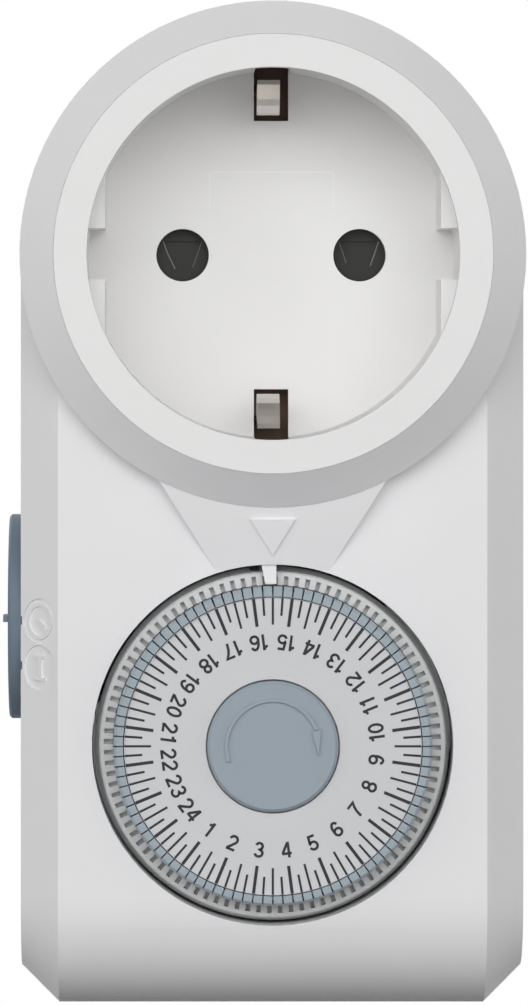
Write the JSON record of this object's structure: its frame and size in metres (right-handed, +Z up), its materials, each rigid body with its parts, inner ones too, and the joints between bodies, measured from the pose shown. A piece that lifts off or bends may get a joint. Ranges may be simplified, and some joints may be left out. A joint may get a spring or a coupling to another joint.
{
  "type": "plug in timer switch",
  "caption": "Upright plug-in timer: round earthed socket above a quarter-hour segment dial, override disc on the left side, rolled lower end and a two-pin plug at the back.",
  "frame": {"origin": "where the plug and socket axis meets the rear face", "axes": "+Y from the front to the back, along the plug pins; +Z up, from the dial to the socket; +X to the right seen from the front"},
  "size_m": [0.0553, 0.078, 0.1068],
  "materials": {
    "housing_white": "satin white moulded plastic with a fine grain",
    "dial_light": "satin light grey moulded plastic",
    "dial_print": "satin light grey disc with a fine dark printed scale",
    "blue_grey": "satin blue-grey moulded plastic",
    "segment_blue": "satin light steel-blue moulded plastic",
    "black_plastic": "matt near-black moulded plastic",
    "natural_nylon": "natural ivory nylon",
    "bobbin_plastic": "off-white moulded plastic",
    "nickel": "nickel-plated, smooth",
    "zinc_steel": "zinc-plated steel",
    "spring_steel": "bright drawn spring steel",
    "brass_strip": "stamped brass strip",
    "bronze_strip": "phosphor bronze strip",
    "silver_contact": "silver contact rivet",
    "enamelled_copper": "enamelled copper wire, wound",
    "ferrite": "dark sintered ferrite magnet",
    "lead_insulation": "red-brown and blue wire insulation"
  },
  "bodies": {
    "housing": {"front_housing": "housing_white", "rear_housing": "housing_white", "plug_body": "housing_white", "housing_screws": "zinc_steel", "socket_insert": "housing_white", "contact_carrier": "black_plastic", "socket_contact_left": "brass_strip", "socket_contact_right": "brass_strip", "plug_pin_left": "nickel", "plug_pin_right": "nickel", "pin_clamp": "natural_nylon", "clamp_screws": "zinc_steel", "earth_contact_top": "nickel", "earth_contact_bottom": "nickel", "earth_link": "bronze_strip", "neutral_bar": "brass_strip", "live_bar": "brass_strip", "load_bar": "brass_strip", "fixed_contacts": "silver_contact", "switch_base": "black_plastic", "lever_spring": "spring_steel", "front_plate": "zinc_steel", "rear_plate": "zinc_steel", "plate_pillars": "zinc_steel", "mechanism_screws": "zinc_steel", "axle_a": "zinc_steel", "axle_b": "zinc_steel", "dial_arbor": "zinc_steel", "arbor_clip": "spring_steel", "motor_can": "zinc_steel", "motor_cover": "zinc_steel", "motor_coil": "enamelled_copper", "coil_bobbin": "bobbin_plastic", "motor_leads": "lead_insulation"},
    "shutter_body": {"shutter": "black_plastic", "shutter_spring": "spring_steel"},
    "rotor": {"rotor_magnet": "ferrite", "rotor_shaft": "zinc_steel"},
    "gear_1_body": {"gear_1": "natural_nylon"},
    "gear_2_body": {"gear_2": "bobbin_plastic"},
    "gear_3_body": {"gear_3": "natural_nylon"},
    "gear_4_body": {"gear_4": "bobbin_plastic"},
    "gear_5_body": {"gear_5": "natural_nylon"},
    "drive": {"drive_wheel": "natural_nylon", "clutch_washer": "spring_steel"},
    "dial": {"dial_carrier": "dial_light", "dial_face": "dial_print", "dial_knob": "blue_grey", "dial_segments": "segment_blue"},
    "segment_1_body": {"segment_1": "segment_blue"},
    "segment_2_body": {"segment_2": "segment_blue"},
    "segment_3_body": {"segment_3": "segment_blue"},
    "segment_4_body": {"segment_4": "segment_blue"},
    "lever": {"trip_lever": "natural_nylon"},
    "plunger": {"switch_plunger": "blue_grey"},
    "blade": {"switch_blade": "bronze_strip"},
    "override": {"override_disc": "blue_grey", "override_cam": "natural_nylon"},
    "bypass": {"bypass_blade": "bronze_strip"}
  },
  "joints": [
    {"name": "shutter_slide", "type": "slide", "parent": "housing", "child": "shutter_body", "axis": [0, 0, -1], "range_m": [0, 0.0066], "stiffness_N_per_m": 12, "springref_m": -0.003, "deforming": ["shutter_spring"]},
    {"name": "rotor_spin", "type": "hinge", "parent": "housing", "child": "rotor", "pos_m": [0.00592, -0.0156, -0.05135], "axis": [0, 1, 0], "continuous": true},
    {"name": "gear_1_turn", "type": "hinge", "parent": "housing", "child": "gear_1_body", "pos_m": [0.0115, -0.016, -0.06332], "axis": [0, 1, 0], "continuous": true},
    {"name": "gear_2_turn", "type": "hinge", "parent": "housing", "child": "gear_2_body", "pos_m": [-0.0017, -0.017, -0.06332], "axis": [0, 1, 0], "continuous": true},
    {"name": "gear_3_turn", "type": "hinge", "parent": "housing", "child": "gear_3_body", "pos_m": [0.0115, -0.019, -0.06332], "axis": [0, 1, 0], "continuous": true},
    {"name": "gear_4_turn", "type": "hinge", "parent": "housing", "child": "gear_4_body", "pos_m": [-0.0017, -0.021, -0.06332], "axis": [0, 1, 0], "continuous": true},
    {"name": "gear_5_turn", "type": "hinge", "parent": "housing", "child": "gear_5_body", "pos_m": [0.0115, -0.024, -0.06332], "axis": [0, 1, 0], "continuous": true},
    {"name": "drive_turn", "type": "hinge", "parent": "housing", "child": "drive", "pos_m": [0, -0.026, -0.0519], "axis": [0, 1, 0], "continuous": true},
    {"name": "dial_turn", "type": "hinge", "parent": "drive", "child": "dial", "pos_m": [0, -0.034, -0.0519], "axis": [0, 1, 0], "continuous": true},
    {"name": "segment_1_push", "type": "slide", "parent": "dial", "child": "segment_1_body", "axis": [0, 1, 0], "range_m": [0, 0.002]},
    {"name": "segment_2_push", "type": "slide", "parent": "dial", "child": "segment_2_body", "axis": [0, 1, 0], "range_m": [0, 0.002]},
    {"name": "segment_3_push", "type": "slide", "parent": "dial", "child": "segment_3_body", "axis": [0, 1, 0], "range_m": [0, 0.002]},
    {"name": "segment_4_push", "type": "slide", "parent": "dial", "child": "segment_4_body", "axis": [0, 1, 0], "range_m": [0, 0.002]},
    {"name": "plunger_lift", "type": "slide", "parent": "housing", "child": "plunger", "axis": [0, 0, 1], "range_m": [0, 0.00105]},
    {"name": "lever_rock", "type": "hinge", "parent": "housing", "child": "lever", "pos_m": [0, -0.0259, -0.02696], "axis": [1, 0, 0], "range_deg": [0, 13], "stiffness_Nm_per_rad": 0.004, "springref_deg": -17.19},
    {"name": "blade_lift", "type": "hinge", "parent": "housing", "child": "blade", "pos_m": [-0.0197, -0.0084, -0.01911], "axis": [-1, 0, 0], "range_deg": [0, 4.9]},
    {"name": "override_turn", "type": "hinge", "parent": "housing", "child": "override", "pos_m": [-0.026, -0.0207, -0.0389], "axis": [1, 0, 0], "range_deg": [0, 25]},
    {"name": "bypass_lift", "type": "hinge", "parent": "housing", "child": "bypass", "pos_m": [-0.0243, -0.0078, -0.03798], "axis": [-1, 0, 0], "range_deg": [0, 8.5]}
  ],
  "couplings": [
    {"joint": "gear_1_turn", "follows": "rotor_spin", "ratio": -0.1},
    {"joint": "gear_2_turn", "follows": "rotor_spin", "ratio": 0.01},
    {"joint": "gear_3_turn", "follows": "rotor_spin", "ratio": -0.001},
    {"joint": "gear_4_turn", "follows": "rotor_spin", "ratio": 0.0001},
    {"joint": "gear_5_turn", "follows": "rotor_spin", "ratio": -0.000022222},
    {"joint": "drive_turn", "follows": "rotor_spin", "ratio": 0.0000027778},
    {"joint": "lever_rock", "follows": "plunger_lift", "rad_per_m": 216.07},
    {"joint": "blade_lift", "follows": "plunger_lift", "rad_per_m": 81.441},
    {"joint": "bypass_lift", "follows": "override_turn", "ratio": 0.33997}
  ]
}
